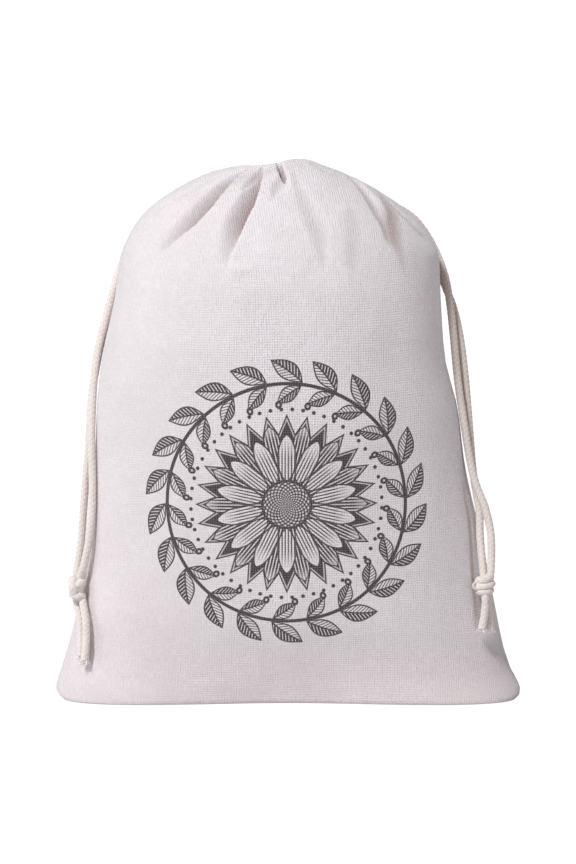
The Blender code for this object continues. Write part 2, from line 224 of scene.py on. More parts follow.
# Knots: each one's middle and half sizes. Each wrap of the cord has its middle, from the knot's, half
# its width and depth, the cord's radius in it, and how far it leans and tips.
Knot = namedtuple("Knot", "x y z half_x half_y half_z")
KNOTS = {
    "left": Knot(-132.2, -20.3, 69.3, 5.5, 5.6, 7.9),
    "right": Knot(121.6, -29, 72.4, 7.2, 5.7, 6.6),
}
Wrap = namedtuple("Wrap", "x y z across deep radius lean tip")
WRAPS = {
    "left": (
        Wrap(0.8, -0.9, -4.1, 3.1, 3, 2.8, -14, 4),
        Wrap(1.5, -1, 2.2, 3.2, 3, 2.8, 36, -10),
        Wrap(-1.4, -1.2, 1, 4.4, 3.1, 3.1, 97, 10),
    ),
    "right": (
        Wrap(0.4, 0, -3.4, 3.9, 3.3, 2.3, 6, 4),
        Wrap(0.4, 0, 0, 4.7, 3.6, 2.4, 14, 3),
        Wrap(0.2, 0, 3.8, 3.8, 3.1, 2.8, 19, -6),
        Wrap(-5.4, -2.4, 0, 1.3, 1.9, 1, 0, 80),
    ),
}
# A wrap goes a little more than once round, on a core smaller than the knot.
WRAP_TURNS = 1.08
WRAP_POINTS = 40
CORE_SHARE = 0.86
CORE_RELIEF = 0.7

# The braid: its columns of stitches, how far a stitch slants, how deep its grooves are beside the
# radius, and how finely a cord is cut. A stub is the length hidden in the casing or a knot.
SIDES = ("left", "right")
STRANDS = ("front", "back")
CORD_LAYERS = ("relief", "strand")
CORD_MATERIAL = "braided cotton cord"
CHAINS = 6
CHAIN_SLANT = 0.45
RELIEF_DEPTH = 0.15
CORD_SIDES = 36
RING_STEP = 0.47
STUB = 5.0
# Cut ends: how much and how far up they widen, and their loose yarns.
FLARE = 0.12
FLARE_LENGTH = 2.5
FRAYED_YARNS = 22
YARN_RADIUS = 0.36
YARN_SIDES = 5
YARN_STEP = 1.2
YARN_TURN = 2.4
YARN_SPREAD = 1.9
YARN_ROOT = 1.5
YARN_RELIEF = 0.9

# The weave: how far a thread wanders, and how wide and long its thick places are.
THREAD_WANDER = 1.3
SLUB_WIDTH = 0.9
SLUB_LENGTH = 4.5

# The print. A leaf has its foot's place along the stem, its slant, length and half width. A row of
# petals has its shift, reach and share of ink. Points stand out behind the petals.
Leaf = namedtuple("Leaf", "foot slant length width")
Petals = namedtuple("Petals", "shift reach share")
PRINT_SHIFT = -0.6
PRINT_EDGE = 0.3
WREATH_LEAVES = 22
WREATH_REACH = 15.0
OUTER_LEAF = Leaf(9.5, 38, 22.5, 5.6)
INNER_LEAF = Leaf(9, 34, 19, 4.8)
STEM_HALF = 1.1
BERRY_RADIUS = 2.5
BERRY_IN = 12.5
PETAL_COUNT = 14
PETAL_FOOT = 15.0
FRONT_PETALS = Petals(0, 43, 0.42)
BACK_PETALS = Petals(0.5, 49, 0.66)
POINT_FOOT = 30.0
POINT_REACH = 56.0
DISC_RADIUS = 15.5
DISC_RIM = 1.5
SEED_SPIRALS = 21.0
SEED_LEAN = 0.42
BEADS = 56
BEAD_RING = 58.6
BEAD_RADIUS = 1.2

# The picture and the light. A lamp has its turn from the front to the left, its height and its
# width, in degrees. The sky and most of the floor look white to the camera.
PICTURE_HEIGHT = 864
Lamp = namedtuple("Lamp", "turn height softness")
KEY_LAMP = Lamp(35, 50, 10)
SIDE_LAMP = Lamp(80, 20, 30)
LAMP_COLOUR = (0.917, 0.974, 1.0)
SKY_COLOUR = (1.0, 0.962, 0.975, 1.0)
SEEN_WHITE = 1.1
SEEN_SHARE = 0.92
FLOOR_SIDES = 96

ROUTE_SHARES = np.arange(0.0, 1.0, 0.05)
SEARCH_STEPS = 40
SEARCH_REACH = 200.0
WELD = 1e-6


def length(name, description, default):
    return bpy.props.FloatProperty(
        name=name, description=description, default=default, precision=5, unit="LENGTH")


def strength(name, description, default):
    return bpy.props.FloatProperty(name=name, description=description, default=default)


def colour(name, description, *default):
    return bpy.props.FloatVectorProperty(
        name=name, description=description, size=4, default=(*default, 1.0), subtype="COLOR")


class StageSettings(bpy.types.PropertyGroup):
    """The camera, the floor and the light."""

    distance: length("Camera distance", "From the camera to the bag's middle", 1.5)
    elevation: bpy.props.FloatProperty(
        name="Camera elevation", description="How far the camera looks down",
        default=math.radians(4.0), subtype="ANGLE")
    middle: length("Picture middle", "Height at the middle of the picture", 0.1657)
    pixel: length("Pixel size", "What one pixel of the picture covers at the bag's middle", 0.00063)
    floor_radius: length("Floor radius", "Radius of the round floor", 9.0)
    floor_colour: colour("Floor colour", "Colour of the pale floor", 0.8, 0.8, 0.8)
    key_strength: strength("Key light", "Strength of the light from the upper left", 2.7)
    side_strength: strength("Side light", "Strength of the low light from the left", 0.62)
    sky_strength: strength("Sky light", "Strength of the light from all round", 0.305)


class ClothSettings(bpy.types.PropertyGroup):
    """The cloth, its weave and its print."""

    thickness: length("Thickness", "Thickness of the cloth", 0.0012)
    thread: length("Thread pitch", "From one thread of the weave to the next", 0.0015)
    light: colour("Light thread", "Colour of the cloth's lighter threads", 0.885, 0.812, 0.827)
    dark: colour("Dark thread", "Colour of the cloth's darker threads", 0.63, 0.548, 0.552)
    # Painted shade: the cloth is blended towards this colour in its folds and creases.
    hollow: colour("Hollow", "Colour of the cloth deep in a fold", 0.38, 0.285, 0.255)
    fleck: colour("Fleck", "Colour of the seed flecks in the yarn", 0.16, 0.10, 0.07)
    ink: colour("Ink", "Colour of the print", 0.046, 0.025, 0.026)
    print_width: length("Print width", "Across the printed wreath", 0.178)
    print_height: length("Print middle", "Along the cloth from the base to the print's middle", 0.131)


class CordSettings(bpy.types.PropertyGroup):
    """The braided cotton cord."""

    diameter: length("Diameter", "Diameter of the cord", 0.005)
    stitch: length("Stitch", "Length of one stitch of the braid", 0.0032)
    crest: colour("Crest", "Colour of the plaits", 0.96, 0.885, 0.865)
    # Painted shade: the colour deep between the plaits.
    groove_shade: colour("Groove", "Colour between the plaits", 0.62, 0.495, 0.43)


class Value:
    """A number or vector in a material. Python's operators add Math nodes."""

    def __init__(self, graph, socket):
        self.graph = graph
        self.socket = socket

    def math(self, operation, *others, clamp=False):
        inputs = dict(enumerate((self, *others)))
        return self.graph.node("ShaderNodeMath", {"operation": operation, "use_clamp": clamp}, inputs)

    def reflected(self, operation, other):
        return self.graph.node("ShaderNodeMath", {"operation": operation}, {0: other, 1: self})

    def __add__(self, other):
        return self.math("ADD", other)

    def __sub__(self, other):
        return self.math("SUBTRACT", other)

    def __rsub__(self, other):
        return self.reflected("SUBTRACT", other)

    def __mul__(self, other):
        return self.math("MULTIPLY", other)

    def __truediv__(self, other):
        return self.math("DIVIDE", other)

    def __rtruediv__(self, other):
        return self.reflected("DIVIDE", other)

    def __neg__(self):
        return self * -1.0

    def __abs__(self):
        return self.math("ABSOLUTE")

    __radd__ = __add__
    __rmul__ = __mul__

    def sin(self):
        return self.math("SINE")

    def cos(self):
        return self.math("COSINE")

    def sqrt(self):
        return self.math("SQRT")

    def fract(self):
        return self.math("FRACT")

    def highest(self, other):
        return self.math("MAXIMUM", other)

    def clamped(self):
        return self.math("ADD", 0.0, clamp=True)


class Graph:
    """The nodes of a material or world, around its main shader."""

    def __init__(self, owner, values, shader="Principled BSDF"):
        owner.use_nodes = True
        self.owner = owner
        self.tree = owner.node_tree
        self.shader = self.tree.nodes[shader]
        for name, value in values.items():
            self.shader.inputs[name].default_value = value

    def node(self, kind, settings=None, inputs=None, output=0):
        """A node of this kind: its settings, then the values or links of its sockets."""
        made = self.tree.nodes.new(kind)
        for name, value in (settings or {}).items():
            setattr(made, name, value)
        for key, value in (inputs or {}).items():
            if isinstance(value, Value):
                self.tree.links.new(value.socket, made.inputs[key])
            else:
                made.inputs[key].default_value = value
        return Value(self, made.outputs[output])

    def place(self, source, *axes):
        """A place along these of its axes, in millimetres."""
        parts = self.node("ShaderNodeSeparateXYZ", inputs={0: source})
        return [Value(self, parts.socket.node.outputs[axis]) / MM for axis in axes]

    def object_place(self):
        """A point in the piece's own space."""
        return self.node("ShaderNodeTexCoord", output=3)

    def attribute(self, name):
        """A number that each vertex of the mesh keeps."""
        return self.node("ShaderNodeAttribute", {"attribute_name": name}, output=2)

    def noise(self, x, y, detail=2.0):
        """Smooth noise from 0 to 1 with features about one unit across."""
        place = self.node("ShaderNodeCombineXYZ", inputs={0: x, 1: y})
        inputs = {"Vector": place, "Scale": 1.0, "Detail": detail}
        return self.node("ShaderNodeTexNoise", {"noise_dimensions": "2D"}, inputs)

    def cloud(self, size):
        """Smooth noise in the piece's own space, with features about this many millimetres wide."""
        inputs = {"Vector": self.object_place(), "Scale": 1 / (size * MM)}
        return self.node("ShaderNodeTexNoise", inputs=inputs)

    def blend(self, factor, first, second):
        """The second colour over the first."""
        inputs = {0: factor, 6: first, 7: second}
        return self.node("ShaderNodeMix", {"data_type": "RGBA"}, inputs, output=2)

    def bump(self, height, distance):
        return self.node("ShaderNodeBump", inputs={"Height": height, "Distance": distance})

    def connect(self, name, value):
        """Links a value to a socket of the main shader."""
        self.tree.links.new(value.socket, self.shader.inputs[name])


def edge(distance, softness=PRINT_EDGE):
    """1 where a distance is over 0, and 0 where it is under, with a soft step between."""
    return (distance / softness + 0.5).clamped()


def level_values(height):
    """The table's columns at these heights, on curves that never overshoot."""
    table = np.array(LEVELS, float)
    knots, values = table[:, 0], table[:, 1:]
    gaps = np.diff(knots)[:, None]
    slopes = np.diff(values, axis=0) / gaps
    before, after = slopes[:-1], slopes[1:]
    same_way = before * after > 0
    total = np.where(same_way, before + after, 1.0)
    inner = np.where(same_way, 2 * before * after / total, 0.0)
    tangents = np.vstack([slopes[:1], inner, slopes[-1:]])
    height = np.clip(height, knots[0], knots[-1])
    cell = np.clip(np.searchsorted(knots, height, side="right") - 1, 0, len(gaps) - 1)
    share = ((height - knots[cell]) / gaps[cell, 0])[:, None]
    rise = values[cell + 1] - values[cell]
    start, end = tangents[cell] * gaps[cell], tangents[cell + 1] * gaps[cell]
    curve = values[cell] + share * start + share ** 2 * (3 * rise - 2 * start - end)
    return curve + share ** 3 * (start + end - 2 * rise)


def outside_form(points):
    """Over 0 where a point lies outside the filled form, and under 0 inside."""
    left, right, front, back, power, dip = level_values(points[:, 2]).T
    middle_x, half_x = (right - left) / 2, (right + left) / 2
    middle_y, half_y = (back - front) / 2, (back + front) / 2
    half_y = half_y - dip * np.exp(-(points[:, 0] / DIP_REACH) ** 2)
    across = np.abs((points[:, 0] - middle_x) / half_x) ** power
    through = np.abs((points[:, 1] - middle_y) / half_y) ** power
    past_ends = np.maximum(points[:, 2] - LEVELS[-1].height, LEVELS[0].height - points[:, 2])
    return np.maximum(across + through - 1, past_ends)


def column_turns():
    """Each column's turn about the bag, from the right seam round the back to the same seam."""
    first = FRONT_CROWDING * math.cos(FRONT_CROWDING)
    return first + np.arange(COLUMNS + 1) * math.tau / COLUMNS


def plane_directions(tilt):
    """Column directions in a plane that is tipped back by tilt degrees."""
    turn = column_turns()
    turn = turn - FRONT_CROWDING * np.cos(turn)
    sideways, backwards = COLUMN_ASPECT * np.cos(turn), np.sin(turn)
    size = np.hypot(sideways, backwards)
    lean = math.radians(tilt)
    across, back = sideways / size, backwards / size
    return np.stack([across, back * math.cos(lean), -back * math.sin(lean)], axis=1)


def round_noise(size, seed):
    """Smooth noise from -1 to 1 for each column, with about 6 times this many features."""
    turns = column_turns()
    places = np.stack([np.cos(turns) * size, np.sin(turns) * size, np.full(len(turns), seed)], axis=1)
    return np.array([noise.noise(Vector(place)) for place in places])


def pleat_wave():
    """The pleats' uneven height at each column, from -1 in a valley to 1 on a ridge."""
    wave = np.cos((column_turns() + PLEAT_DRIFT * round_noise(1.7, 6.5)) * PLEATS)
    return wave * (0.9 + 1.1 * round_noise(2.6, 0.5)) + 0.7 * round_noise(6.0, 3.5) * (1.2 - np.abs(wave))


def crease_wave():
    """Small creases drawn by the gather, mostly on the back, from -1 to 1."""
    back = np.clip(0.3 + 0.8 * np.sin(column_turns()), 0.15, 1.0)
    return (0.5 * np.cos(column_turns() * PLEATS) + 1.4 * round_noise(5.2, 8.5)) * back


def form_surface(centre, directions):
    """Where lines in these directions from a point in the form come out of it."""
    near, far = np.zeros(len(directions)), np.full(len(directions), SEARCH_REACH)
    for _ in range(SEARCH_STEPS):
        middle = (near + far) / 2
        is_out = outside_form(centre + directions * middle[:, None]) > 0
        near, far = np.where(is_out, near, middle), np.where(is_out, middle, far)
    return centre + directions * near[:, None]


def form_loop(cut):
    """The loop where a plane cuts the form."""
    return form_surface((cut.x, cut.y, cut.z), plane_directions(cut.tilt))


def gather_loop(ring, wave):
    """A pleated loop about the gather's axis."""
    radius = ring.radius + ring.pleat * np.where(wave < 0, VALLEY_DEPTH * wave, wave)
    sway = RIM_SWAY * ring.along / GATHER_RINGS[-1].along * round_noise(3.1, 2.5)
    lean = math.radians(GATHER_TILT)
    along = (ring.along + sway)[:, None] * np.array([0.0, math.sin(lean), math.cos(lean)])
    return np.array(GATHER_CENTRE) + along + plane_directions(GATHER_TILT) * radius[:, None]


def smooth_between(before, start, end, after, share):
    """A point on the smooth curve from start to end, past its neighbours."""
    bend = 2 * before - 5 * start + 4 * end - after
    twist = 3 * start - before - 3 * end + after
    return start + ((end - before) * share + bend * share ** 2 + twist * share ** 3) / 2


def crown_loop(place, wave):
    """The loop at a place in the crown's table, creased more and more towards its end."""
    table = np.array(CROWN_CUTS, float)
    last = len(table) - 1
    cut = Cut(*(np.interp(place, range(last + 1), column) for column in table.T))
    rise = max(0.0, (place - PLEAT_START) / (last - PLEAT_START)) ** 2
    return form_loop(cut) + plane_directions(cut.tilt) * wave[:, None] * CROWN_PLEAT * rise


def bag_rows():
    """The cloth's rows from the base to the rim."""
    heights = np.concatenate([FOOT_HEIGHTS, np.arange(FOOT_HEIGHTS[-1] + WALL_STEP, WALL_TOP, WALL_STEP)])
    rows = [form_loop(Cut(0, 0, height, 0)) for height in heights]
    wave = pleat_wave()
    last = len(CROWN_CUTS) - 1
    creases = crease_wave()
    rows.extend(crown_loop(place / CROWN_SUBROWS, creases) for place in range(last * CROWN_SUBROWS))
    loops = [crown_loop(last - 1, creases), crown_loop(last, creases)]
    loops.extend(gather_loop(ring, wave) for ring in GATHER_RINGS)
    loops.append(2 * loops[-1] - loops[-2])
    for index in range(1, len(loops) - 2):
        for step in range(GATHER_SUBROWS):
            rows.append(smooth_between(*loops[index - 1:index + 3], step / GATHER_SUBROWS))
    rows.append(loops[-2])
    return np.array(rows)


def row_normals(rows):
    """Unit normals of the rows, facing out. The first and last columns are one."""
    along = np.gradient(rows, axis=0)
    ring = rows[:, :-1]
    around = np.roll(ring, -1, axis=1) - np.roll(ring, 1, axis=1)
    around = np.concatenate([around, around[:, :1]], axis=1)
    normals = np.cross(around, along)
    return normals / np.linalg.norm(normals, axis=2, keepdims=True)


def beside_route(points, normals, table, right):
    """Each point's share of the way from a route to the side of its fold, and the depth there."""
    forwards = np.array([(0.0, -1.0, 0.0)])
    route = np.array([(*form_surface((x, 0.0, height), forwards)[0], width, depth)
                      for x, height, width, depth in table])
    closest = np.full(len(points), np.inf)
    share_out, depths = np.ones(len(points)), np.zeros(len(points))
    for start, end in zip(route[:-1], route[1:]):
        run = end[:3] - start[:3]
        share = np.clip((points - start[:3]) @ run / (run @ run), 0, 1)
        offset = points - (start[:3] + share[:, None] * run)
        distance = np.linalg.norm(offset, axis=1)
        width, depth = start[3:, None] + share * (end[3:] - start[3:])[:, None]
        is_right = np.einsum("ij,ij->i", offset, np.cross(run, normals)) < 0
        reach = width * np.where(is_right, right, 1.0)
        is_closer = distance < closest
        share_out = np.where(is_closer, np.minimum(distance / reach, 1), share_out)
        depths = np.where(is_closer, depth, depths)
        closest = np.minimum(distance, closest)
    return share_out, depths


def tuck_push(points, normals, tuck):
    """How far a tuck pushes each point in: most at its crisp line."""
    share, depth = beside_route(points, normals, tuck.route, tuck.right)
    return depth * (1 - share) ** TUCK_CURVE


def hollow_swell(points, normals, hollow):
    """The round profile of a hollow: its width on its route, and 0 at its sides."""
    table = [(x, height, width, width) for x, height, width in hollow.route]
    share, width = beside_route(points, normals, table, 1.0)
    return width * (1 - share ** 2) ** 2


def slack_push(points):
    """The slack of filled cloth: hollows and swellings a few fingers wide."""
    places = [Vector(point) for point in points * Vector((1.0, 1.0, 0.55)) / SLACK_SIZE]
    return np.array([0.9 * noise.noise(place) + 0.3 * noise.noise(place * 2.7) for place in places])


def cloth_rows():
    """The cloth's rows with the folds pressed in, each point's painted shade, and its place on the cloth."""
    rows = bag_rows()
    places = weave_map(rows)
    points = rows.reshape(-1, 3)
    normals = row_normals(rows)
    flat_normals = normals.reshape(-1, 3)
    tucks = sum(tuck_push(points, flat_normals, tuck) for tuck in TUCKS)
    swells = [(hollow_swell(points, flat_normals, hollow), hollow) for hollow in HOLLOWS]
    shades = sum(swell * hollow.shade for swell, hollow in swells)
    hollows = sum(swell * hollow.depth for swell, hollow in swells)
    push = tucks + hollows + slack_push(points) * np.clip(points[:, 2] / SLACK_HEIGHT, 0, 1)
    push = push.reshape(rows.shape[:2])
    push[-(len(GATHER_RINGS) - 1) * GATHER_SUBROWS:] = 0
    push = push + SEAM_DEPTH * np.exp(-(places[2] / SEAM_WIDTH) ** 2)
    # Painted shade: deeper tucks and the hollows' shade darken the cloth there.
    fold_shade = np.clip(tucks / SHADE_DEPTH + shades, 0, DARKEST)
    return rows - normals * push[:, :, None], fold_shade, places


def reach_along(points, axis=0):
    """How far each point of a line, or of a grid's lines, lies from the first one."""
    steps = np.linalg.norm(np.diff(points, axis=axis), axis=-1)
    start = np.zeros_like(steps.take([0], axis=axis))
    return np.concatenate([start, np.cumsum(steps, axis=axis)], axis=axis)


def weave_map(rows):
    """Each point's distances along the cloth: from the front's middle, the base, a side seam and the rim."""
    around, along = reach_along(rows, axis=1), reach_along(rows)
    from_left = around - around[:, [LEFT_SEAM]]
    seam = np.minimum(np.minimum(around, around[:, [-1]] - around), np.abs(from_left))
    return around - around[:, [FRONT_COLUMN]], along, seam, along[-1] - along


def rolled_grid(mesh, rows):
    """A grid rolled into a tube through these rows, whose ends meet."""
    count, sides = rows.shape[0] - 1, rows.shape[1] - 1
    verts = bmesh.ops.create_grid(mesh, x_segments=sides, y_segments=count, size=1.0)["verts"]
    for vert, point in zip(verts, rows.reshape(-1, 3)):
        vert.co = point * MM
    return verts


def closed_tube(mesh, verts):
    """Closes the tube's long seam and fills its open ends."""
    bmesh.ops.remove_doubles(mesh, verts=verts, dist=WELD)
    ends = [edge for edge in mesh.edges if edge.is_boundary]
    bmesh.ops.holes_fill(mesh, edges=ends, sides=0)


def linked(name, data):
    """A new object at the origin of the scene."""
    made = bpy.data.objects.new(name, data)
    bpy.context.scene.collection.objects.link(made)
    return made


def object_from(name, mesh, material):
    """An object with a bmesh's shape and a material."""
    data = bpy.data.meshes.new(name)
    mesh.to_mesh(data)
    mesh.free()
    data.materials.append(material)
    return linked(name, data)


def finished_piece(name, mesh, material, stands_for):
    """A piece from a bmesh, which rides on the bag in the place of its CAD node."""
    bmesh.ops.recalc_face_normals(mesh, faces=mesh.faces)
    piece = object_from(name, mesh, material)
    piece.data.shade_smooth()
    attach(piece, "root")
    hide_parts(stands_for)
    return piece


def smooth_line(route, step=RING_STEP):
    """Points about a step apart on a smooth curve through a route."""
    points = np.array(route, float)
    padded = np.vstack([2 * points[0] - points[1], points, 2 * points[-1] - points[-2]])
    fine = []
    for before, start, end, after in zip(padded, padded[1:], padded[2:], padded[3:]):
        fine.extend(smooth_between(before, start, end, after, share) for share in ROUTE_SHARES)
    fine = np.array(fine + [points[-1]])
    reach = reach_along(fine)
    places = np.linspace(0, reach[-1], max(3, round(reach[-1] / step) + 1))
    return np.stack([np.interp(places, reach, fine[:, axis]) for axis in range(3)], axis=1)


def line_frames(points):
    """Two crosswise directions at each point of a line, carried along without twist."""
    tangents = np.gradient(points, axis=0)
    tangents = tangents / np.linalg.norm(tangents, axis=1, keepdims=True)
    side = np.cross(tangents[0], (0.0, 1.0, 0.0))
    sides = []
    for tangent in tangents:
        side = side - tangent * (side @ tangent)
        side = side / np.linalg.norm(side)
        sides.append(side)
    return np.array(sides), np.cross(tangents, sides)


def ring_directions(line, turn):
    """The directions out from each point of a line, at these shares of a turn round it."""
    sides, others = line_frames(line)
    angle = (turn * math.tau)[:, None]
    return sides[:, None] * np.cos(angle) + others[:, None] * np.sin(angle)


def braid_relief(turn, along):
    """How high the stitches stand, 0 to 1, and where a point lies across a stitch's leg."""
    column = np.floor(turn * CHAINS)
    across = (turn * CHAINS - column) * 2 - 1
    leg = np.abs(across) - 0.5
    stitch = along + np.abs(across) * CHAIN_SLANT + (column % 2) * 0.5
    swell = 0.5 + 0.5 * np.cos(math.tau * stitch)
    height = np.sqrt(np.cos(math.pi * leg * 0.9).clip(0, 1)) * (0.4 + 0.6 * swell ** 0.7)
    return height, np.broadcast_to(leg, height.shape)


def braided_tube(mesh, line, radius, stitch, flare=0.0):
    """A braided cord along a line. Each vertex keeps its relief and its place across a strand."""
    turn = np.arange(CORD_SIDES + 1) / CORD_SIDES
    reach = reach_along(line)
    relief, strand = braid_relief(turn, reach[:, None] / stitch)
    size = radius * (1 - RELIEF_DEPTH * (1 - relief))
    size = size * (1 + flare * np.exp(-(reach[-1] - reach) / FLARE_LENGTH))[:, None]
    verts = rolled_grid(mesh, line[:, None] + ring_directions(line, turn) * size[:, :, None])
    layers = [mesh.verts.layers.float[name] for name in CORD_LAYERS]
    for vert, height, place in zip(verts, relief.ravel(), strand.ravel()):
        vert[layers[0]] = height
        vert[layers[1]] = place
    closed_tube(mesh, verts)


def new_cord_mesh():
    """An empty bmesh with the layers of a cord."""
    mesh = bmesh.new()
    for name in CORD_LAYERS:
        mesh.verts.layers.float.new(name)
    return mesh


def build_cloth(material, settings):
    """The bag: a grid rolled up, welded along one side seam and closed at its base."""
    rows, fold_shade, (across, along, seam, to_rim) = cloth_rows()
    mesh = bmesh.new()
    cloth_map = mesh.loops.layers.uv.new(CLOTH_MAP)
    layers = [mesh.verts.layers.float.new(name) for name in CLOTH_LAYERS]
    verts = rolled_grid(mesh, rows)
    places = np.stack([across.ravel(), along.ravel()], axis=1) * MM
    for vert, *values in zip(verts, seam.ravel(), to_rim.ravel(), fold_shade):
        for layer, value in zip(layers, values):
            vert[layer] = value
    mesh.verts.index_update()
    for face in mesh.faces:
        for corner in face.loops:
            corner[cloth_map].uv = places[corner.vert.index]
    bmesh.ops.remove_doubles(mesh, verts=verts, dist=WELD)
    lowest = min(vert.co.z for vert in mesh.verts)
    hem = [edge for edge in mesh.edges if edge.is_boundary and edge.verts[0].co.z < lowest + MM]
    for face in bmesh.ops.holes_fill(mesh, edges=hem, sides=0)["faces"]:
        for corner in face.loops:
            corner[cloth_map].uv = corner.vert.co.xy
    piece = finished_piece("linen_bag", mesh, material, "bag_cloth")
    wall = piece.modifiers.new("cloth thickness", "SOLIDIFY")
    wall.thickness = settings.thickness
    wall.offset = -1.0


def inside_knot(side, end, rise):
    """A point in a knot, halfway across from a cord's end to its middle."""
    knot = KNOTS[side]
    return [(end[0] + knot.x) / 2, (end[1] + knot.y) / 2, knot.z + rise]


def build_strand(side, strand, material, settings):
    """One strand of a drawcord, from inside the casing to inside its knot."""
    node = f"cord_{side}_{strand}"
    route = np.array(CORD_ROUTES[node], float)
    back = route[0] - route[1]
    into_casing = route[0] + back / np.linalg.norm(back) * STUB
    line = smooth_line([into_casing, *route, inside_knot(side, route[-1], STUB / 2)])
    mesh = new_cord_mesh()
    braided_tube(mesh, line, settings.diameter / MM / 2, settings.stitch / MM)
    piece = finished_piece(f"braid_{side}_{strand}", mesh, material, node)
    float(reach_along(line)[-1] * MM)


def wrap_line(wrap):
    """The middle line of a wrap, from the back once round, with both ends tucked in."""
    shares = np.linspace(0, 1, WRAP_POINTS)
    turn = shares * WRAP_TURNS * math.tau + math.pi / 2
    swell = 0.75 + 0.25 * np.sin(shares * math.pi) ** 0.4
    sideways, backwards = np.cos(turn) * wrap.across * swell, np.sin(turn) * wrap.deep * swell
    lean, tip = math.radians(wrap.lean), math.radians(wrap.tip)
    height = wrap.z + sideways * math.sin(lean) + backwards * math.sin(tip)
    line = [wrap.x + sideways * math.cos(lean), wrap.y + backwards * math.cos(tip), height]
    return smooth_line(np.stack(line, axis=1))


def build_knot(side, material, settings):
    """A knot pulled tight: wraps of the cord round a filled core."""
    knot = KNOTS[side]
    mesh = new_cord_mesh()
    core = bmesh.ops.create_uvsphere(mesh, u_segments=20, v_segments=12, radius=1.0)["verts"]
    half = np.array([knot.half_x, knot.half_y, knot.half_z])
    relief = mesh.verts.layers.float["relief"]
    for vert in core:
        vert.co = Vector(half * CORE_SHARE) * vert.co * MM
        vert[relief] = CORE_RELIEF
    for wrap in WRAPS[side]:
        braided_tube(mesh, wrap_line(wrap), wrap.radius, settings.stitch / MM)
    for vert in mesh.verts:
        vert.co += Vector((knot.x, knot.y, knot.z)) * MM
    finished_piece(f"knot_{side}_turns", mesh, material, f"knot_{side}")


def frayed_end(mesh, tip, direction, seed):
    """A tuft of loose yarns at the end of a tail."""
    relief = mesh.verts.layers.float["relief"]
    turn = np.arange(YARN_SIDES + 1) / YARN_SIDES
    for index in range(FRAYED_YARNS):
        angle = index * YARN_TURN + seed
        spread = 0.25 + 0.75 * index / FRAYED_YARNS
        side = np.array([math.cos(angle), math.sin(angle), 0.0])
        root = tip + side * spread * YARN_SPREAD - direction * YARN_ROOT
        bend = direction + side * spread * 0.5
        length = 2.4 + 1.8 * math.sin(index * 1.7 + seed) ** 2
        end = root + bend * length
        yarn = smooth_line([root, root + bend * length * 0.5, end + side * spread * 0.6], YARN_STEP)
        thin = YARN_RADIUS * np.linspace(1.0, 0.45, len(yarn))[:, None, None]
        verts = rolled_grid(mesh, yarn[:, None] + ring_directions(yarn, turn) * thin)
        for vert in verts:
            vert[relief] = YARN_RELIEF
        closed_tube(mesh, verts)


def build_tail(side, strand, material, settings):
    """A cord's free end below its knot, cut and frayed."""
    node = f"tail_{side}_{strand}"
    route = CORD_ROUTES[node]
    line = smooth_line([inside_knot(side, route[0], -STUB / 2), *route])
    mesh = new_cord_mesh()
    braided_tube(mesh, line, settings.diameter / MM / 2, settings.stitch / MM, FLARE)
    direction = line[-1] - line[-4]
    frayed_end(mesh, line[-1], direction / np.linalg.norm(direction), len(node) + ord(side[0]))
    finished_piece(f"{node}_braid", mesh, material, node)


def cord_material(settings):
    """Braided cotton: cream crests, painted shade in the grooves, the yarns of each strand, and painted
    shade on the upper right strands.
    """
    graph = Graph(bpy.data.materials.new(CORD_MATERIAL), {"Roughness": 0.85, "Sheen Weight": 0.25})
    relief = graph.attribute("relief")
    strand = graph.attribute("strand")
    yarn = (strand * (math.tau * 4)).cos() * 0.5 + 0.5
    cloud = graph.cloud(9.0)
    depth = (relief * 1.35 - 0.35).clamped()
    x, height = graph.place(graph.object_place(), 0, 2)
    # Painted shade: the upper strands of the right cord are darker and browner.
    upper_right_shade = edge(height - 180.0, 200.0) * edge(x - 60.0, 20.0)
    # Painted shade: low relief between the plaits, on the knot's core and in the frayed yarns darkens
    # towards the groove colour.
    tone = (depth * 0.8 + yarn * 0.08 + cloud * 0.24 - upper_right_shade * 0.34).clamped()
    graph.connect("Base Color", graph.blend(tone, settings.groove_shade, settings.crest))
    graph.connect("Normal", graph.bump(yarn * depth, 0.12 * MM))
    return graph.owner


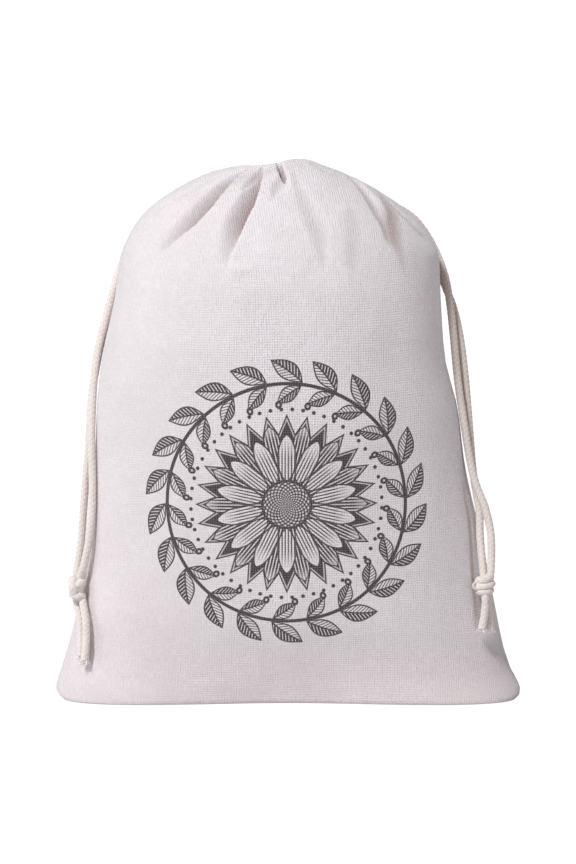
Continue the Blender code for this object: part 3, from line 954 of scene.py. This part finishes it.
def cloth_material(settings):
    """Plain-woven cotton and linen with slubs and seed flecks, seam and hem, painted shade in its folds, and
    its print.
    """
    cloth = bpy.data.materials.new("natural linen cloth")
    graph = Graph(cloth, {"Roughness": 0.92, "Sheen Weight": 0.2})
    u, v = graph.place(graph.node("ShaderNodeUVMap", {"uv_map": CLOTH_MAP}), 0, 1)
    pitch = settings.thread / MM
    warp_place = u + graph.noise(u / 7.0, v / 30.0) * THREAD_WANDER
    weft_place = v + graph.noise(u / 30.0 + 5.0, v / 7.0) * THREAD_WANDER
    warp = (warp_place * (math.pi / pitch)).cos()
    weft = (weft_place * (math.pi / pitch)).cos()
    over = warp * weft * 0.5
    weave = (abs(warp) * (over + 0.5)).highest(abs(weft) * (0.5 - over))
    # The weave is calmer on the left flank and at the foot.
    calm = (edge(-45.0 - u, 60.0) * 0.5).highest(edge(40.0 - v, 60.0) * 0.3)
    weave = weave * (1 - calm) + calm * 0.5
    patch = edge(graph.noise(u / 9.0 + 3.0, v / 9.0 + 3.0) - 0.5, 0.3)
    warp_slub = graph.noise(warp_place / SLUB_WIDTH, v / SLUB_LENGTH, 1.0) * (patch * 0.35 + 0.44)
    weft_slub = graph.noise(u / SLUB_LENGTH + 9.0, weft_place / SLUB_WIDTH, 1.0)
    slub = warp_slub + weft_slub * (0.36 - patch * 0.2)
    cloud = graph.noise(u / 34.0, v / 34.0, 3.0)
    fleck = edge(graph.noise(u / 1.3 + 40.0, v / 0.8, 1.0) - 0.80, 0.04)
    # Painted shade: the cloth is darker towards the foot, more so towards the right.
    foot_shade = edge(30.0 - v, 70.0) * (edge(u - 90.0, 100.0) * 0.4 + 0.34)
    tone = (weave * 0.27 + slub * 0.75 + cloud * 0.3 - 0.01 - calm * 0.5 - foot_shade).clamped()
    bare = graph.blend(tone, settings.dark, settings.light)
    bare = graph.blend(fleck * 0.55, bare, settings.fleck)
    # Painted shade: the folds darken towards the hollow colour, and the deepest pit towards the ink.
    fold_shade = graph.attribute("fold_shade")
    bare = graph.blend((fold_shade * 0.78).clamped() * 0.94, bare, settings.hollow)
    bare = graph.blend(((fold_shade - 1.2) * 2.8).clamped(), bare, settings.ink)
    seam, to_rim = graph.attribute("seam"), graph.attribute("rim")
    stitch = hem_stitch(u, to_rim)
    bare = graph.blend(stitch * 0.6, bare, settings.light)
    ink = print_mask(graph, u - PRINT_SHIFT, v - settings.print_height / MM, settings)
    ink = ink * (weave * 0.25 + slub * 0.15 + 0.76).clamped()
    graph.connect("Base Color", graph.blend(ink, bare, settings.ink))
    pucker = (v * (math.tau / 5.0)).sin() * edge(7.0 - seam, 6.0) * 0.5
    raised = warp_slub + weft_slub * (0.2 - patch * 0.1)
    height = weave * 0.85 + raised * 1.3 * (1 - calm) + stitch * 1.2 + pucker
    graph.connect("Normal", graph.bump(height, 0.4 * MM))
    return graph.owner


def hem_stitch(u, to_rim):
    """1 on the stitches of the casing's two rows, and 0 between."""
    dashes = edge(0.8 - (u / STITCH_PITCH).fract(), 0.1)
    rows = [edge(0.45 - abs(to_rim - line)) for line in HEM_STITCHES]
    return dashes * (rows[0] + rows[1])


def hatch(place, pitch, share, softness=0.35):
    """Engraved lines: 1 on a line and 0 between, with share of each pitch inked."""
    inside = abs((place / pitch).fract() - 0.5) * pitch
    return edge(share * (pitch / 2) - inside, softness)


def leaf(along, up, shape):
    """An engraved leaf: its outline, its rib, and lines that are thick on the shaded half."""
    x, y = turned(along + shape.foot, up - 1.0, shape.slant)
    bow = (x * (math.pi / shape.length)).sin().clamped() * shape.width
    rim = bow - abs(y)
    within = edge(rim) * edge(x) * edge(shape.length - x)
    outline = edge(0.95 - rim, 0.35)
    rib = edge(0.5 - abs(y))
    slant = x - abs(y) * 0.9
    light_half = hatch(slant, 2.2, 0.34) * edge(-y, 0.6)
    dark_half = hatch(slant, 2.2, 0.74) * edge(y, 0.6)
    return within * outline.highest(rib).highest(light_half).highest(dark_half)


def turned(x, y, angle):
    """x and y in axes turned by this angle, in degrees."""
    cosine, sine = math.cos(math.radians(angle)), math.sin(math.radians(angle))
    return x * cosine + y * sine, y * cosine - x * sine


def distance_from_middle(x, y):
    return (x * x + y * y).sqrt()


def ring_cells(turn, radius, count, shift=0.0):
    """The distance along a ring from the middle of its nearest cell."""
    return ((turn * count + shift).fract() - 0.5) * (math.tau * radius / count)


def wreath(turn, radius, ring):
    """A wreath: leaves on both sides of a stem, with berries between their tips."""
    along, up = ring_cells(turn, ring, WREATH_LEAVES), radius - ring
    leaves = leaf(along, up, OUTER_LEAF).highest(leaf(along, -up, INNER_LEAF))
    stem = edge(STEM_HALF - abs(up))
    berry = distance_from_middle(ring_cells(turn, ring, WREATH_LEAVES, 0.72), up + BERRY_IN)
    berries = edge(BERRY_RADIUS - berry) * (1 - edge(0.8 - berry, 0.4) * 0.8)
    return leaves.highest(stem).highest(berries)


def petals(turn, radius, row):
    """A row of petals with outlines and lines that run outwards, and where it covers."""
    along = ring_cells(turn, 1.0, PETAL_COUNT, row.shift) * radius
    way = ((radius - PETAL_FOOT) / (row.reach - PETAL_FOOT)).clamped()
    half = (way * math.pi).sin().sqrt() * (math.pi * row.reach / PETAL_COUNT * 0.62)
    rim = half - abs(along)
    within = edge(rim) * edge(radius - PETAL_FOOT) * edge(row.reach - radius)
    lines = hatch(along, 1.9, row.share) * edge(row.share + 0.3 - way, 0.4)
    return within * edge(1 - rim, 0.35).highest(lines), within


def daisy(turn, radius):
    """A daisy from above: two rows of petals, pointed leaves behind them and a seeded middle."""
    front, front_cover = petals(turn, radius, FRONT_PETALS)
    back, back_cover = petals(turn, radius, BACK_PETALS)
    flower = front + back * (1 - front_cover)
    point = (POINT_REACH - radius) * 0.42 - abs(ring_cells(turn, radius, PETAL_COUNT * 2, 0.5))
    pointed = edge(point) * edge(radius - POINT_FOOT) * (1 - edge(0.4 - abs(point - 1.4)) * 0.7)
    behind = pointed * (1 - front_cover) * (1 - back_cover)
    seeds = edge(DISC_RADIUS - DISC_RIM - radius)
    for lean in (SEED_LEAN, -SEED_LEAN):
        seeds = seeds * hatch(turn * SEED_SPIRALS + radius * lean, 1.0, 0.56, PRINT_EDGE)
    disc = edge(DISC_RADIUS - radius)
    return (flower + behind).clamped() * (1 - disc) + disc * (1 - seeds)


def print_mask(graph, x, y, settings):
    """Where the cloth is printed: a wreath of leaves round a daisy."""
    radius = distance_from_middle(x, y)
    turn = graph.node("ShaderNodeMath", {"operation": "ARCTAN2"}, {0: y, 1: x}) / math.tau + 0.5
    ring = settings.print_width / MM / 2 - WREATH_REACH
    bead = distance_from_middle(ring_cells(turn, BEAD_RING, BEADS), radius - BEAD_RING)
    return wreath(turn, radius, ring).highest(daisy(turn, radius)).highest(edge(BEAD_RADIUS - bead))


def add_light(name, strength, lamp):
    """A soft light from the left of the front."""
    light = bpy.data.lights.new(name, "SUN")
    light.energy = strength
    light.color = LAMP_COLOUR
    light.angle = math.radians(lamp.softness)
    holder = linked(name, light)
    holder.rotation_euler = (math.radians(90.0 - lamp.height), 0.0, math.radians(-lamp.turn))


def build_stage(settings):
    """The wide floor, soft light from the left and all round, and the camera."""
    mesh = bmesh.new()
    bmesh.ops.create_circle(mesh, cap_ends=True, segments=FLOOR_SIDES, radius=settings.floor_radius)
    object_from("floor", mesh, floor_material(settings))

    add_light("key light", settings.key_strength, KEY_LAMP)
    add_light("side light", settings.side_strength, SIDE_LAMP)

    sky = Graph(bpy.data.worlds.new("studio"), {"Color": SKY_COLOUR}, "Background")
    seen = sky.node("ShaderNodeLightPath")
    inputs = {"Value": seen, "To Min": settings.sky_strength, "To Max": SEEN_WHITE}
    sky.connect("Strength", sky.node("ShaderNodeMapRange", inputs=inputs))

    lens = bpy.data.cameras.new("camera")
    lens.lens = lens.sensor_width * settings.distance / (PICTURE_HEIGHT * settings.pixel)
    camera = linked("camera", lens)
    lean = settings.elevation
    away = Vector((0.0, -math.cos(lean), math.sin(lean))) * settings.distance
    camera.location = Vector((0.0, 0.0, settings.middle)) + away
    camera.rotation_euler = (math.pi / 2 - lean, 0.0, 0.0)
    scene = bpy.context.scene
    scene.camera = camera
    scene.world = sky.owner
    scene.view_settings.view_transform = "Standard"


def floor_material(settings):
    """A matt pale floor, most of which glows white to the camera alone."""
    values = {"Base Color": settings.floor_colour, "Roughness": 0.9, "Specular IOR Level": 0.0}
    graph = Graph(bpy.data.materials.new("pale floor"), values)
    seen = graph.node("ShaderNodeLightPath")
    glow = graph.node("ShaderNodeEmission", inputs={"Strength": SEEN_WHITE})
    surface = Value(graph, graph.shader.outputs[0])
    mixed = graph.node("ShaderNodeMixShader", inputs={0: seen * SEEN_SHARE, 1: surface, 2: glow})
    graph.tree.links.new(mixed.socket, graph.tree.nodes["Material Output"].inputs["Surface"])
    return graph.owner


class BREADBAG_OT_stage(bpy.types.Operator):
    """Make the floor, the lights and the camera"""

    bl_idname = "bread_bag.stage"
    bl_label = "Stage"

    def execute(self, context):
        build_stage(context.scene.bag_stage)
        return {"FINISHED"}


class BREADBAG_OT_knots(bpy.types.Operator):
    """Tie the knots and make the tails below them"""

    bl_idname = "bread_bag.knots"
    bl_label = "Knots and tails"

    def execute(self, context):
        settings = context.scene.bag_cords
        material = cord_material(settings)
        for side in SIDES:
            build_knot(side, material, settings)
            for strand in STRANDS:
                build_tail(side, strand, material, settings)
        return {"FINISHED"}


class BREADBAG_OT_cords(bpy.types.Operator):
    """Hang the strands of both drawcords"""

    bl_idname = "bread_bag.cords"
    bl_label = "Drawcords"

    def execute(self, context):
        settings = context.scene.bag_cords
        material = bpy.data.materials[CORD_MATERIAL]
        for side in SIDES:
            for strand in STRANDS:
                build_strand(side, strand, material, settings)
        return {"FINISHED"}


class BREADBAG_OT_cloth(bpy.types.Operator):
    """Make the filled cloth bag"""

    bl_idname = "bread_bag.cloth"
    bl_label = "Cloth"

    def execute(self, context):
        settings = context.scene.bag_cloth
        build_cloth(cloth_material(settings), settings)
        return {"FINISHED"}


class BREADBAG_PT_panel(bpy.types.Panel):
    """The bag's pieces and sizes"""

    bl_idname = "BREADBAG_PT_panel"
    bl_label = "Bread Bag"
    bl_space_type = "VIEW_3D"
    bl_region_type = "UI"
    bl_category = "Bread Bag"

    def draw(self, context):
        for operator, settings in PANEL_ROWS:
            group = getattr(context.scene, settings)
            for name in group.__annotations__:
                self.layout.prop(group, name)
            self.layout.operator(operator.bl_idname)


SETTINGS = {"bag_stage": StageSettings, "bag_cords": CordSettings, "bag_cloth": ClothSettings}
OPERATORS = (BREADBAG_OT_stage, BREADBAG_OT_knots, BREADBAG_OT_cords, BREADBAG_OT_cloth)
PANEL_ROWS = tuple(zip(OPERATORS, ("bag_stage", "bag_cords", "bag_cords", "bag_cloth")))
CLASSES = (*SETTINGS.values(), *OPERATORS, BREADBAG_PT_panel)


def register():
    for made in CLASSES:
        bpy.utils.register_class(made)
    for name, group in SETTINGS.items():
        setattr(bpy.types.Scene, name, bpy.props.PointerProperty(type=group))


def unregister():
    for name in SETTINGS:
        delattr(bpy.types.Scene, name)
    for made in reversed(CLASSES):
        bpy.utils.unregister_class(made)


def main():
    register()
    bpy.ops.bread_bag.stage()
    bpy.ops.bread_bag.knots()
    bpy.ops.bread_bag.cords()
    bpy.ops.bread_bag.cloth()


if __name__ == "__main__":
    main()
